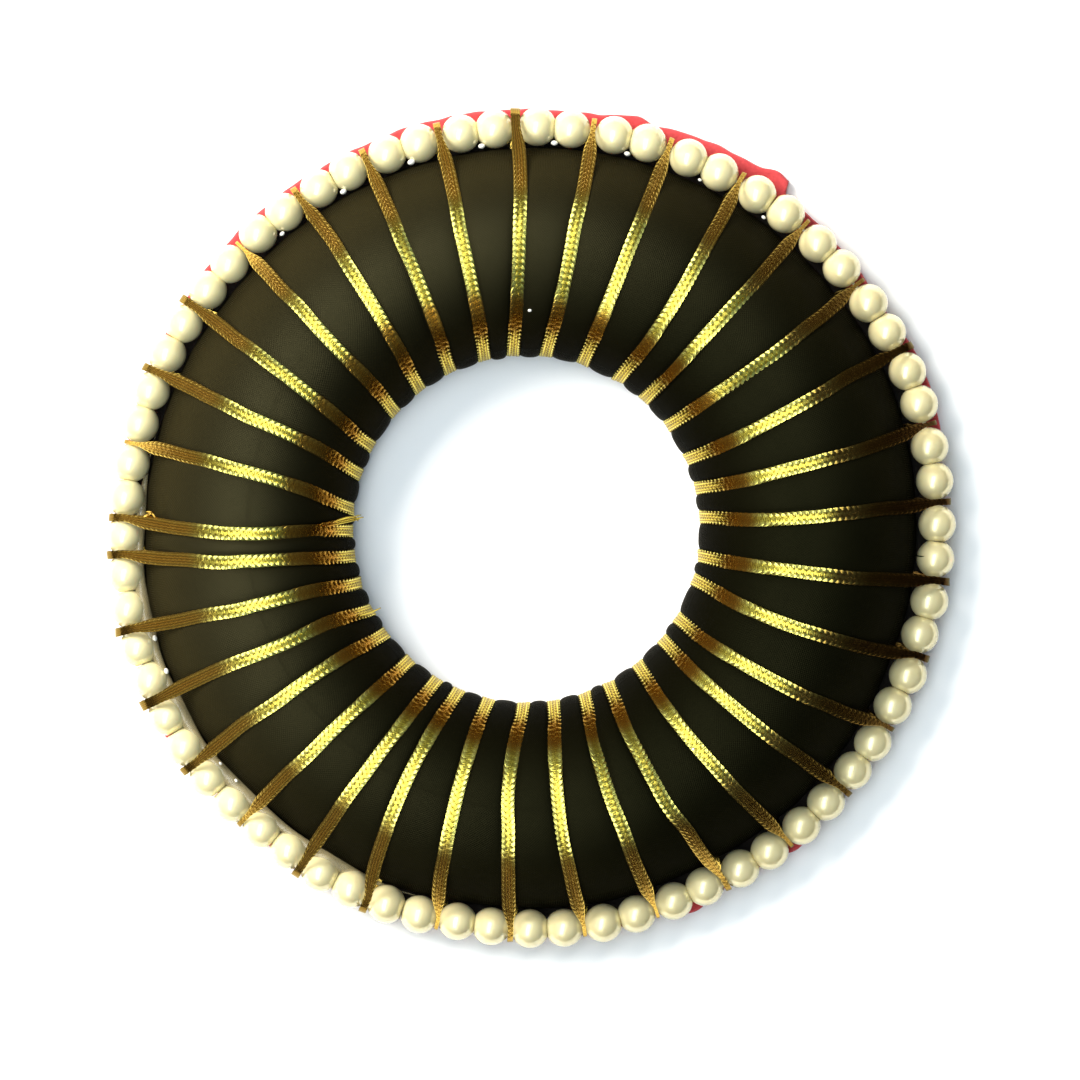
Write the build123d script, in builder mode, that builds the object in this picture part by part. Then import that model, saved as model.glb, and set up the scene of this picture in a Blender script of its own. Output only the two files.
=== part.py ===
"""Ring for a hair bun: a padded black ring wound with gold braid, with a string of pearls round its rim.

It lies flat as on a table. The origin is at the centre of the string of pearls, on the underside of the
cloth backing, with +Z up through the hole. Angles run anticlockwise from +X, seen from above.
"""
import os
from math import acos, asin, atan2, cos, degrees, floor, hypot, radians, sin

from build123d import *

# Padded ring: flat underneath, half-round above, with its hole a little off centre
ring_radius = 45.3
ring_height = 12.3
hole_radius = 20.5
hole_shift_x = -0.55
hole_shift_y = -0.35
crest_flat = 0.7
side_height = 0.5
heel_radius = 0.4

# Cloth backing, cut by hand
backing_thickness = 1.0
backing_setback = 3.5
backing_lip = 1.2

# String of pearls
pearl_diameter = 4.6
pearl_length = 4.12
pearl_bore = 0.9
pearl_gap = 0.12
thread_diameter = 0.5

# Gold braid
braid_width = 1.9
braid_thickness = 0.3
braid_pinch = 0.75
braid_room = 0.12
braid_bite = 0.3
seat_gap = 0.1

# The winding, in degrees: where it starts, how it crowds together at one side of the string, and how
# far each turn leans from its place on the rim to the crest and to the hole
first_turn = 4.97
crowding, crowded_side = 2.12, 141.0
crest_lean, crest_sway, crest_side = -0.6, 1.96, 147.0
hole_lean, hole_sway, hole_side = 2.05, 3.33, 144.0

# Turns that stray from that, in degrees: turn, at the crest, at the hole
stray_turns = {
    1: (0.8, 2.2),
    3: (0.0, -1.4),
    7: (0.8, 0.0),
    8: (0.4, 1.5),
    10: (-0.6, -1.7),
    11: (-0.6, -1.0),
    12: (-0.9, -0.9),
    13: (-0.5, -1.2),
    14: (0.4, 2.2),
    15: (-0.2, 1.0),
    16: (-0.4, 1.9),
    17: (1.0, 0.0),
    18: (1.9, 1.3),
    19: (0.8, -0.2),
    20: (-0.7, -0.6),
    21: (-0.9, -1.8),
    22: (0.7, 0.0),
    23: (0.8, 0.6),
    24: (-1.3, -1.7),
    25: (-0.9, -0.9),
    28: (0.7, 0.9),
    29: (-0.5, -0.8),
    31: (0.7, 0.7),
    32: (-0.9, -0.8),
    33: (0.0, 2.5),
    34: (0.2, -1.0),
}
lone_pearl_turn = 17

# Edge of the cloth backing: angle, and how far it stands out past the pearls, as a share of backing_lip.
# It starts and ends at the corner where the scissors met.
backing_edge = [
    (53.2, 0.75),
    (54.8, 0.95),
    (57.5, 0.32),
    (62.0, 0.2),
    (69.0, 0.05),
    (72.5, -0.3),
    (75.5, 0.1),
    (81.0, -0.5),
    (92.0, -0.3),
    (104.0, -0.4),
    (118.0, -0.65),
    (132.0, -0.45),
    (153.0, -0.8),
    (175.0, -0.6),
    (195.0, -0.2),
    (209.0, 0.4),
    (224.0, -0.1),
    (245.0, -0.7),
    (272.0, -0.6),
    (308.0, -0.25),
    (330.0, -0.6),
    (357.0, -0.4),
    (375.0, 0.3),
    (387.0, 0.3),
    (395.0, -0.2),
    (404.0, -0.1),
    (412.5, -0.5),
]

# Levels, from the surface that it lies on
braid_floor = backing_thickness + seat_gap
ring_floor = braid_floor + braid_thickness + seat_gap
ring_top = ring_floor + ring_height
string_height = braid_floor + pearl_diameter / 2

# Radii
hole_shift = hypot(hole_shift_x, hole_shift_y)
shoulder_radius = min(ring_height - side_height, (ring_radius - hole_radius - hole_shift - crest_flat) / 2)
shoulder_height = ring_top - shoulder_radius
crest_radius = (hole_radius + hole_shift + ring_radius) / 2
string_radius = ring_radius + seat_gap + pearl_diameter / 2
rim_radius = string_radius + pearl_diameter / 2
braid_skin = seat_gap + braid_thickness
over_string_radius = pearl_diameter / 2 - braid_skin

# Where the braid turns under the ring, inside the string and outside the hole
run_outer_radius = ring_radius - braid_thickness
run_inner_radius = hole_radius + braid_width

# Spacing round the string, in degrees: from pearl to pearl, and over a turn of braid
pearl_pitch = 2 * degrees(asin((pearl_length + pearl_gap) / 2 / string_radius))
turn_pitch = 2 * degrees(asin((pearl_length + pearl_gap + braid_room) / 2 / string_radius))
least_pair_gap = (pearl_pitch + turn_pitch) / (1 - radians(crowding))
pair_gap_count = floor((360 - turn_pitch) / least_pair_gap)
pair_gap = (360 - turn_pitch) / pair_gap_count
turn_count = pair_gap_count + 1


def turn_angle(turn):
    """Angle of a turn on the rim. The gap after lone_pearl_turn holds one pearl, and every other gap two."""
    laps, index = divmod(turn - 1, turn_count)
    along = index * pair_gap
    if index >= lone_pearl_turn:
        along += turn_pitch - pair_gap
    return laps * 360 + first_turn + along + crowding * cos(radians(along - crowded_side))


def turn_leans(turn):
    """How far a turn leans at the crest and at the hole, in degrees."""
    at_rim = turn_angle(turn)
    stray_crest, stray_hole = stray_turns.get(turn, (0.0, 0.0))
    crest = crest_lean + crest_sway * cos(radians(at_rim - crest_side)) + stray_crest
    hole = hole_lean + hole_sway * cos(radians(at_rim - hole_side)) + stray_hole
    return crest, hole


def pearl_angles():
    """Angle of every pearl: two about the middle of a wide gap between turns, one in the lone gap."""
    angles = []
    for turn in range(1, turn_count + 1):
        middle = (turn_angle(turn) + turn_angle(turn + 1)) / 2
        if turn == lone_pearl_turn:
            angles.append(middle)
        else:
            angles += [middle - pearl_pitch / 2, middle + pearl_pitch / 2]
    return angles


def polar(radius, angle):
    """Point at a radius and an angle in degrees about the origin."""
    return Vector(radius * cos(radians(angle)), radius * sin(radians(angle)))


def add_strip(points, widths):
    """Adds the outline of a strip of braid seen from above, along its middle points, with a width at each."""
    left, right = [], []
    for place, (point, width) in enumerate(zip(points, widths)):
        before = points[max(place - 1, 0)]
        after = points[min(place + 1, len(points) - 1)]
        along = (after - before).normalized()
        across = Vector(-along.Y, along.X) * (width / 2)
        left.append(point + across)
        right.append(point - across)
    Polygon(*left, *reversed(right), align=None)


def turn_points(turn):
    """Where a turn crosses the edge of the hole, the crest and the string, seen from above."""
    at_rim = turn_angle(turn)
    at_crest, at_hole = turn_leans(turn)
    return (
        polar(hole_radius, at_rim + at_hole),
        polar(crest_radius, at_rim + at_crest),
        polar(string_radius, at_rim),
    )


def add_turns(margin=0.0):
    """Adds the outline of every turn seen from above, wider by a margin on each side.

    The strips run on past the hole's edge and past the string, and narrow from the crest to the string.
    """
    wide = braid_width + 2 * margin
    narrow = braid_width * braid_pinch + 2 * margin
    for turn in range(1, turn_count + 1):
        hole_point, crest_point, string_point = turn_points(turn)
        inwards = (hole_point - crest_point).normalized() * pearl_diameter
        outwards = (string_point - crest_point).normalized() * pearl_diameter
        points = [hole_point + inwards, hole_point, crest_point, string_point, string_point + outwards]
        add_strip(points, [wide, wide, wide, narrow, narrow])


def add_runs():
    """Adds the outlines of the runs of braid under the ring, from each turn at the hole to the next at the rim.

    There is none between the two turns beside the lone pearl, where the braid starts and ends.
    """
    for turn in range(1, turn_count + 1):
        if turn != lone_pearl_turn:
            hole_point, crest_point, _ = turn_points(turn)
            _, next_crest_point, string_point = turn_points(turn + 1)
            start = hole_point + (crest_point - hole_point).normalized() * (braid_width / 2)
            end = string_point + (next_crest_point - string_point).normalized() * (pearl_diameter / 2)
            add_strip([start, end], [braid_width, braid_width * braid_pinch])


hole_axis = Axis((hole_shift_x, hole_shift_y, 0), (0, 0, 1))
hole_plane = Plane(origin=(hole_shift_x, hole_shift_y, 0), x_dir=(1, 0, 0), z_dir=(0, -1, 0))


def add_wound_body(skin, mode=Mode.ADD):
    """Solid round the ring and its string, as large as if they were covered by a skin of that thickness.

    Above, the skin lies as deep in the ring as the braid bites into it. Inside the crest the body is a
    half-round about the hole's axis. Outside the crest its outline leaves the half-round in a straight
    line, turns round the string of pearls and comes back level underneath.
    """
    low, high = ring_floor - skin, ring_top + skin - braid_bite
    wall = hole_radius - skin + braid_bite
    inner_shoulder = (hole_radius + shoulder_radius, shoulder_height)
    heel_turn = heel_radius + skin
    heel = (wall + heel_turn, low + heel_turn)

    outer_shoulder = (ring_radius - shoulder_radius, shoulder_height)
    string = (string_radius, string_height)
    string_turn = over_string_radius + skin
    shoulder_turn = shoulder_radius + skin - braid_bite
    away = hypot(string[0] - outer_shoulder[0], string[1] - outer_shoulder[1])
    slope = degrees(atan2(string[1] - outer_shoulder[1], string[0] - outer_shoulder[0]))
    leaves_at = slope + degrees(acos((shoulder_turn - string_turn) / away))

    with BuildPart(mode=Mode.PRIVATE) as body:
        with BuildSketch(hole_plane):
            with BuildLine():
                Line((ring_radius, low), (heel[0], low))
                CenterArc(heel, heel_turn, 180, 90)
                Line((wall, heel[1]), (wall, shoulder_height))
                CenterArc(inner_shoulder, shoulder_turn, 90, 90)
                Line((inner_shoulder[0], high), (ring_radius, high))
                Line((ring_radius, high), (ring_radius, low))
            make_face()
        revolve(axis=hole_axis)
        with Locations((0, 0, low)):
            Cylinder(
                crest_radius,
                high - low,
                align=(Align.CENTER, Align.CENTER, Align.MIN),
                mode=Mode.INTERSECT,
            )
        with BuildSketch(Plane.XZ):
            with BuildLine():
                Line((crest_radius, low), (crest_radius, high))
                Line((crest_radius, high), (outer_shoulder[0], high))
                shoulder = CenterArc(outer_shoulder, shoulder_turn, leaves_at, 90 - leaves_at)
                turn_over = CenterArc(string, string_turn, -90, 90 + leaves_at)
                Line(shoulder @ 0, turn_over @ 1)
                Line(turn_over @ 0, (crest_radius, low))
            make_face()
        revolve(axis=Axis.Z)
    add(body.part, mode=mode)


os.makedirs("parts", exist_ok=True)

# Padded ring: a thick washer with both upper edges rounded into a half-round
with BuildPart() as padded_ring:
    with BuildSketch(Plane.XY.offset(ring_floor)):
        Circle(ring_radius)
        with Locations((hole_shift_x, hole_shift_y)):
            Circle(hole_radius, mode=Mode.SUBTRACT)
    extrude(amount=ring_height)
    fillet(padded_ring.faces().sort_by(Axis.Z)[-1].edges(), shoulder_radius)
    fillet(padded_ring.faces().sort_by(Axis.Z)[0].edges(), heel_radius)

# Dents that the braid presses into the ring
with BuildPart(mode=Mode.PRIVATE) as dents:
    with BuildSketch():
        add_turns(margin=seat_gap)
    extrude(amount=ring_top + braid_width)
    add_wound_body(0.0, mode=Mode.SUBTRACT)
with padded_ring:
    add(dents.part, mode=Mode.SUBTRACT)
padded_ring.part.label = "padded_ring"

# Cloth backing: a flat sheet whose edge follows the rim unevenly
with BuildPart() as cloth_backing:
    with BuildSketch():
        with BuildLine():
            edge = Spline([polar(rim_radius + share * backing_lip, angle) for angle, share in backing_edge])
            Line(edge @ 1, edge @ 0)
        make_face()
        with Locations((hole_shift_x, hole_shift_y)):
            Circle(hole_radius + backing_setback, mode=Mode.SUBTRACT)
    extrude(amount=backing_thickness)
cloth_backing.part.label = "cloth_backing"

# One pearl, drilled through, its hole along Y: a bead a little shorter along its hole than across
with BuildPart(mode=Mode.PRIVATE) as pearl:
    bore_radius = pearl_bore / 2
    pearl_radius = pearl_diameter / 2
    with BuildSketch():
        Ellipse(pearl_radius, pearl_length / 2)
        with Locations((bore_radius, 0)):
            Rectangle(pearl_diameter, pearl_length, align=(Align.MAX, Align.CENTER), mode=Mode.SUBTRACT)
    revolve(axis=Axis.Y)

with BuildPart() as pearls:
    for angle in pearl_angles():
        place = polar(string_radius, angle)
        with Locations(Location((place.X, place.Y, string_height), (0, 0, angle))):
            add(pearl.part)
pearls.part.label = "pearls"

# Thread through the pearls
with BuildPart() as pearl_thread:
    with Locations((0, 0, string_height)):
        Torus(string_radius, thread_diameter / 2)
pearl_thread.part.label = "pearl_thread"

# Gold braid: each turn is a narrow strip of a skin round the ring and the string, and runs under the
# ring lead from the hole to the next turn's place on the rim
with BuildPart() as gold_braid:
    add_wound_body(braid_skin)
    add_wound_body(seat_gap, mode=Mode.SUBTRACT)
    with BuildSketch(Plane.XY.offset(braid_floor)):
        Circle(run_outer_radius)
        with Locations((hole_shift_x, hole_shift_y)):
            Circle(run_inner_radius, mode=Mode.SUBTRACT)
    extrude(amount=braid_thickness, mode=Mode.SUBTRACT)
    with BuildSketch():
        add_turns()
    extrude(amount=ring_top + braid_width, mode=Mode.INTERSECT)
    with BuildSketch(Plane.XY.offset(braid_floor)):
        add_runs()
    extrude(amount=braid_thickness)
gold_braid.part.label = "gold_braid"

pieces = [padded_ring, cloth_backing, pearls, pearl_thread, gold_braid]
for piece in pieces:
    export_step(piece.part, f"parts/{piece.part.label}.step")
    print(piece.part.label, len(piece.part.solids()), "solids", round(piece.part.volume, 1), "mm3")
print("turns", turn_count, "pearls", len(pearl_angles()))
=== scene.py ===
# %% [markdown]
# # A ring for a hair bun, dressed for its photograph
#
# The ring is a half-round of padding under a tight black cover. One length of flat gold braid is wound
# round it, over a string of pearls that lies along its rim, and a piece of red cloth backs it all. It
# lies flat and is seen from straight above. The imported model says where everything is and how large, so
# it is loaded first. Nothing that is added may reach far beyond it.

import bpy
import numpy as np
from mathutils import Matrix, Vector


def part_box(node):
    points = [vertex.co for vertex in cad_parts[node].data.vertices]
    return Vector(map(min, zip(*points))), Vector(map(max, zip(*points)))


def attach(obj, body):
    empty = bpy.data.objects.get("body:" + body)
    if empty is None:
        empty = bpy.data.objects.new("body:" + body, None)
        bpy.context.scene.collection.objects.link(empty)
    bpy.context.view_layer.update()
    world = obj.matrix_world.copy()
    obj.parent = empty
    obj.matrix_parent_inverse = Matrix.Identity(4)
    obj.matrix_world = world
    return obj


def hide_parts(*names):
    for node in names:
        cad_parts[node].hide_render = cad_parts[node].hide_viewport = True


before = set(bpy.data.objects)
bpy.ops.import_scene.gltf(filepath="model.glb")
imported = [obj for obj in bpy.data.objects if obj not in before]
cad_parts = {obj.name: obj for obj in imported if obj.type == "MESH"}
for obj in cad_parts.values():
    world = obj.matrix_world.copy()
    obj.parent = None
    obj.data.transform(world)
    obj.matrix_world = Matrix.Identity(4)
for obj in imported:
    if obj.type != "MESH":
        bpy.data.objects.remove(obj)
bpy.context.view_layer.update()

# %% [markdown]
# Sizes are in millimetres and angles in degrees, because that is how such a thing is made by hand. Levels
# and main radii are read from the model's own boxes. What a box can't say is repeated from the drawing:
# the half-round's section, the braid's width, and where each turn crosses the hole, the crest and the
# rim.

# %% Sizes read from the model
MM = 0.001


def box_of(node):
    """Lowest and highest corner of a node of the model, in millimetres."""
    low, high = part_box(node)
    return np.array(low) / MM, np.array(high) / MM


ring_low, ring_high = box_of("padded_ring")
pearls_low, pearls_high = box_of("pearls")
ring_radius = (ring_high[0] - ring_low[0]) / 2
ring_floor, ring_top = ring_low[2], ring_high[2]
rim_radius = (pearls_high[0] - pearls_low[0]) / 2
pearl_diameter = pearls_high[2] - pearls_low[2]
string_height = (pearls_high[2] + pearls_low[2]) / 2
string_radius = rim_radius - pearl_diameter / 2
backing_thickness = box_of("cloth_backing")[1][2]
print(f"ring {ring_radius:.1f} mm in radius, {ring_top - ring_floor:.1f} high; pearls {pearl_diameter:.1f}")

# %% Sizes repeated from the drawing
hole_radius, hole_shift_x, hole_shift_y = 20.5, -0.55, -0.35
crest_flat, side_height, heel_radius = 0.7, 0.5, 0.4
pearl_length, pearl_bore, pearl_gap = 4.12, 0.9, 0.12
thread_diameter = 0.5
braid_width, braid_thickness, braid_room, braid_bite, seat_gap = 1.9, 0.3, 0.12, 0.3, 0.1
backing_setback, backing_lip = 3.5, 1.2

first_turn = 4.97
crowding, crowded_side = 2.12, 141.0
crest_lean, crest_sway, crest_side = -0.6, 1.96, 147.0
hole_lean, hole_sway, hole_side = 2.05, 3.33, 144.0
turn_count, lone_pearl_turn = 34, 17

# Turns that stray from the even winding: turn, degrees at the crest, degrees at the hole
stray_turns = {
    1: (0.8, 2.2), 3: (0.0, -1.4), 7: (0.8, 0.0), 8: (0.4, 1.5), 10: (-0.6, -1.7), 11: (-0.6, -1.0),
    12: (-0.9, -0.9), 13: (-0.5, -1.2), 14: (0.4, 2.2), 15: (-0.2, 1.0), 16: (-0.4, 1.9), 17: (1.0, 0.0),
    18: (1.9, 1.3), 19: (0.8, -0.2), 20: (-0.7, -0.6), 21: (-0.9, -1.8), 22: (0.7, 0.0), 23: (0.8, 0.6),
    24: (-1.3, -1.7), 25: (-0.9, -0.9), 28: (0.7, 0.9), 29: (-0.5, -0.8), 31: (0.7, 0.7), 32: (-0.9, -0.8),
    33: (0.0, 2.5), 34: (0.2, -1.0),
}

# Edge of the backing: angle, share of backing_lip that it stands out past the pearls
backing_edge = [
    (53.2, 0.75), (54.8, 0.95), (57.5, 0.35), (62.0, 0.15), (69.0, 0.0), (72.5, -0.4), (75.5, 0.1),
    (81.0, -0.6), (104.0, -0.5), (118.0, -0.7), (132.0, -0.7), (153.0, -1.0), (175.0, -1.2), (204.0, -1.2),
    (209.0, 0.1), (214.0, -1.2), (232.0, -1.0), (237.0, -0.6), (242.0, -1.2), (288.0, -1.3), (293.0, -0.4),
    (298.0, -1.2), (306.0, -1.1), (310.0, -0.4), (314.0, -1.2), (369.0, -1.3), (374.0, -0.1), (384.0, 0.0),
    (390.0, -0.8), (407.0, -0.6), (412.5, -0.5),
]

# How far each turn lies beside its even curve, in tenths of a millimetre, at five radii
sway_radii = (21.5, 26.0, 31.0, 36.0, 41.0)
sway_of_turn = [
    (-7, -6, -2, 3, 5), (-5, -4, -1, 1, 2), (-5, -5, -2, 3, 6), (-5, -4, -1, 2, 2), (-4, -2, 2, 5, 6),
    (-7, -9, -7, -3, 0), (-2, -3, -2, 0, 1), (-4, -5, -2, 2, 3), (-1, -3, -2, -1, -2), (-2, -3, -1, 1, 1),
    (-2, -3, -1, 1, 2), (-1, -4, -2, 1, 1), (0, -2, 0, 2, 3), (-3, -4, -1, 2, 5), (-2, -5, -2, 4, 5),
    (-2, -5, -2, 4, 6), (-7, -4, 2, 6, 6), (-1, -1, 1, 3, 3), (0, -2, 0, 2, 2), (-1, -3, 3, 5, 4),
    (-1, -2, 0, 2, 2), (-1, -1, -1, 0, 0), (0, -1, -1, 1, 1), (1, -1, -1, 0, 0), (-1, -1, 0, 2, 1),
    (1, -2, -2, 1, 3), (0, -1, 0, 1, 2), (-2, -4, -2, 1, 2), (-2, -4, -1, 1, 3), (-1, -2, 0, 3, 5),
    (0, -2, 0, 2, 5), (-2, -3, 0, 3, 3), (-3, -5, -2, 2, 4), (-2, -1, 0, 1, 2),
]

# How far the string lies outside a true circle: angle, millimetres
string_wave = [
    (0, 0.2), (20, 0.3), (40, -0.1), (52, -0.25), (68, -0.45), (100, -0.65), (140, -0.55), (160, -0.1),
    (176, 0.15), (194, 0.8), (212, 0.75), (230, 0.1), (250, 0.1), (262, -0.2), (280, -0.1), (296, -0.4),
    (318, 0.0), (340, 0.0), (350, 0.2),
]

# %% [markdown]
# Everything on the ring is placed by an angle and a radius, and fades in and out along smooth curves.
# These few functions take whole arrays, so that a surface of ten thousand points is one sum and not ten
# thousand.

# %% Angles, easing and tables
def cosd(angle):
    return np.cos(np.radians(angle))


def sind(angle):
    return np.sin(np.radians(angle))


def all_round(steps):
    """Even angles once round, without the last one, which is the first again."""
    return np.linspace(0, 360, steps, endpoint=False)


def ease(share):
    """Smooth step: 3x^2 - 2x^3 between 0 and 1, level at both ends."""
    share = np.clip(share, 0.0, 1.0)
    return share * share * (3.0 - 2.0 * share)


def rise(value, start, stop):
    """0 before start, 1 after stop and eased between them. Stop may lie below start, for a fall."""
    return ease((value - start) / (stop - start))


def eased_table(angle, table):
    """Value of a table of (angle, value) at any angle, eased from entry to entry and going round."""
    knots, values = np.array(table, float).T
    knots, values = np.append(knots, knots[0] + 360.0), np.append(values, values[0])
    turned = knots[0] + np.mod(angle - knots[0], 360.0)
    after = np.clip(np.searchsorted(knots, turned, side="right"), 1, len(knots) - 1)
    share = (turned - knots[after - 1]) / (knots[after] - knots[after - 1])
    return values[after - 1] + (values[after] - values[after - 1]) * ease(share)


def place(radius, angle, height):
    """Points at a radius, an angle and a height, as an array whose last axis is x, y, z."""
    radius, angle, height = np.broadcast_arrays(radius, angle, height)
    return np.stack([radius * cosd(angle), radius * sind(angle), height], -1)


def arc(centre, radius, start, stop, steps=90):
    """An arc of a section between two angles: radius, height and both parts of its outward normal."""
    out, up = cosd(np.linspace(start, stop, steps)), sind(np.linspace(start, stop, steps))
    return np.stack([centre[0] + radius * out, centre[1] + radius * up, out, up], -1)


def unit(vectors):
    return vectors / np.linalg.norm(vectors, axis=-1, keepdims=True)


# %% The winding
turns = np.arange(1, turn_count + 1)
turn_pitch = 2 * np.degrees(np.arcsin((pearl_length + pearl_gap + braid_room) / 2 / string_radius))
pair_gap = (360 - turn_pitch) / (turn_count - 1)
along = (turns - 1) * pair_gap + np.where(turns > lone_pearl_turn, turn_pitch - pair_gap, 0.0)
rim_angle = first_turn + along + crowding * cosd(along - crowded_side)
stray = np.array([stray_turns.get(turn, (0.0, 0.0)) for turn in turns.tolist()])
crest_angle = rim_angle + crest_lean + crest_sway * cosd(rim_angle - crest_side) + stray[:, 0]
hole_angle = rim_angle + hole_lean + hole_sway * cosd(rim_angle - hole_side) + stray[:, 1]

next_rim = np.append(rim_angle[1:], rim_angle[0] + 360.0)
gap_middle = (rim_angle + next_rim) / 2
lone = turns == lone_pearl_turn
bead_length = 4.06
bead_half_pitch = np.degrees(bead_length / 2 / string_radius)
paired = gap_middle[~lone]
pearl_angle = np.concatenate([paired - bead_half_pitch, paired + bead_half_pitch, gap_middle[lone]])
touches = np.concatenate([np.ones(len(paired)), -np.ones(len(paired)), [0.0]])
in_order = np.argsort(pearl_angle)
pearl_angle, touches = pearl_angle[in_order], touches[in_order]
print(turn_count, "turns and", len(pearl_angle), "pearls")

# %% [markdown]
# The section is the same all the way round, apart from two things: the hole lies a little off centre, and
# the hand-wound string isn't a true circle. Both are small shifts in radius that depend on the angle. A
# turn of braid leans from the hole to the crest to the rim, which is a parabola through its three angles.

# %% The ring's section
hole_shift = np.hypot(hole_shift_x, hole_shift_y)
hole_shift_side = np.degrees(np.arctan2(hole_shift_y, hole_shift_x))
ring_height = ring_top - ring_floor
shoulder = min(ring_height - side_height, (ring_radius - hole_radius - hole_shift - crest_flat) / 2)
shoulder_height = ring_top - shoulder
inner_centre = hole_radius + shoulder
outer_centre = ring_radius - shoulder
crest_radius = (hole_radius + hole_shift + ring_radius) / 2
hole_shift_fades = 1.4
wave_start, wave_full = 35.0, 44.5


def shifted(radius, angle):
    """Radius on the real ring: inside the crest it moves with the hole, outside with the string's wave."""
    with_hole = hole_shift * cosd(angle - hole_shift_side)
    with_hole = with_hole * rise(radius, inner_centre + hole_shift_fades, inner_centre)
    with_string = eased_table(angle, string_wave) * rise(radius, wave_start, wave_full)
    return radius + with_hole + with_string


# Each turn's sideways shift on a fine grid of radii: the table's straight lines, with a moving mean
fine_step = 0.1
rounded_over = 16
fine_radius = np.arange(hole_radius - 2, string_radius + 2, fine_step)
shift_ends = [sway_radii[0] - 1, *sway_radii, string_radius - 1.5, string_radius]
fine_shift = np.array([np.interp(fine_radius, shift_ends, [row[0], *row, 0.4 * row[-1], 0.0])
                       for row in sway_of_turn]) / 10
rounding = np.hanning(2 * rounded_over + 1)
rounding /= rounding.sum()
fine_shift = np.array([np.convolve(np.pad(row, rounded_over, mode="edge"), rounding, "valid")
                       for row in fine_shift])


def sidestep(turn, radius):
    """Millimetres that a turn lies beside its even curve at a radius."""
    column = np.clip((radius - fine_radius[0]) / fine_step, 0, len(fine_radius) - 1.001)
    left = column.astype(int)
    return fine_shift[turn, left] + (column - left) * (fine_shift[turn, left + 1] - fine_shift[turn, left])


def lean(turn, radius):
    """Angle of a turn at a radius: the parabola through its angles at the hole, the crest and the rim.

    The turn's own sideways shift is added, as an angle.
    """
    a, b, c = hole_radius, crest_radius, string_radius
    r = np.clip(radius, hole_radius, string_radius)
    at_hole = (r - b) * (r - c) / ((a - b) * (a - c))
    at_crest = (r - a) * (r - c) / ((b - a) * (b - c))
    at_rim = (r - a) * (r - b) / ((c - a) * (c - b))
    even = hole_angle[turn] * at_hole + crest_angle[turn] * at_crest + rim_angle[turn] * at_rim
    return even + np.degrees(sidestep(turn, r) / r)


# %% [markdown]
# A mesh is a grid of points and the quads between them. Every surface here is an array of points by ring
# and side, and one helper numbers the quads of any number of such grids. A grid closes up both ways, or it
# is a tube with closed ends. The sign of the volume tells whether the quads face outwards, so a surface
# that came out inside out is turned round before Blender sees it. A pattern is a function too: it gives
# each corner of a quad its place in the piece's own weave.

# %% Mesh helpers
def like_grids(count, rings, sides, tube):
    """Quads of some like grids, with each corner's grid, ring and side, counted on past a seam.

    The points are in order of grid, ring and side. A grid closes up both ways, but the ends of a tube are
    closed by fans of quads, which takes an even number of sides.
    """
    row, column = np.meshgrid(np.arange(rings - tube), np.arange(sides), indexing="ij")
    ring = np.stack([row, row, row + 1, row + 1], -1).reshape(-1, 4)
    side = np.stack([column, column + 1, column + 1, column], -1).reshape(-1, 4)
    if tube:
        first = np.arange(1, sides - 1, 2)
        fan = np.stack([0 * first, first, first + 1, first + 2], -1)
        ring = np.concatenate([ring, 0 * fan, 0 * fan + rings - 1])
        side = np.concatenate([side, fan[:, ::-1], fan])
    grid = np.arange(count).repeat(len(ring))[:, None]
    ring, side = np.tile(ring, (count, 1)), np.tile(side, (count, 1))
    return (grid * rings + ring % rings) * sides + side % sides, grid, ring, side


def volume_of(points, quads):
    """Volume inside the quads: a sum of thin tetrahedra to the origin, negative if they face inwards."""
    a, b, c, d = (points[quads[:, k]] for k in range(4))
    return (np.einsum("ij,ij->i", a, np.cross(b, c)) + np.einsum("ij,ij->i", a, np.cross(c, d))).sum() / 6


def in_scene(name, data):
    """A new object that holds a mesh, a light or a camera, linked into the scene."""
    made = bpy.data.objects.new(name, data)
    bpy.context.scene.collection.objects.link(made)
    return made


def no_pattern(grid, ring, side):
    """Nought all over, for a piece whose finish asks for a pattern that doesn't show on it."""
    return 0 * ring, 0 * side


def make_piece(name, points, finish, pattern=None, instead_of=(), tube=False):
    """Makes a smooth closed object that rides on the ring's one body.

    Its points are in millimetres, by grid, ring and side. The pattern gives a corner's two places in the
    weave, in millimetres too, from its grid, ring and side.
    """
    rings, sides = points.shape[-3:-1]
    points = points.reshape(-1, 3)
    quads, *corners = like_grids(len(points) // (rings * sides), rings, sides, tube)
    order = slice(None, None, -1 if volume_of(points, quads) < 0 else 1)
    quads = quads[:, order]
    mesh = bpy.data.meshes.new(name)
    mesh.from_pydata((points * MM).tolist(), [], quads.tolist(), shade_flat=False)
    if pattern is not None:
        axes = np.stack(np.broadcast_arrays(*pattern(*corners)), -1)[:, order]
        mesh.uv_layers.new(name="pattern").uv.foreach_set("vector", axes.astype(np.float32).ravel())
    mesh.materials.append(finish)
    piece = in_scene(name, mesh)
    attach(piece, "root")
    if instead_of:
        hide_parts(*instead_of)
    print(f"{name}: {len(points)} points, {2 * len(quads)} triangles")
    return piece


# %% [markdown]
# ## Finishes
#
# A finish is one Principled shader. What is the same all over is set on the shader itself. What changes
# is written as a sum: a small class wraps a socket, and each operator adds one Math node, so a pattern
# reads like the formula that it is.

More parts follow.
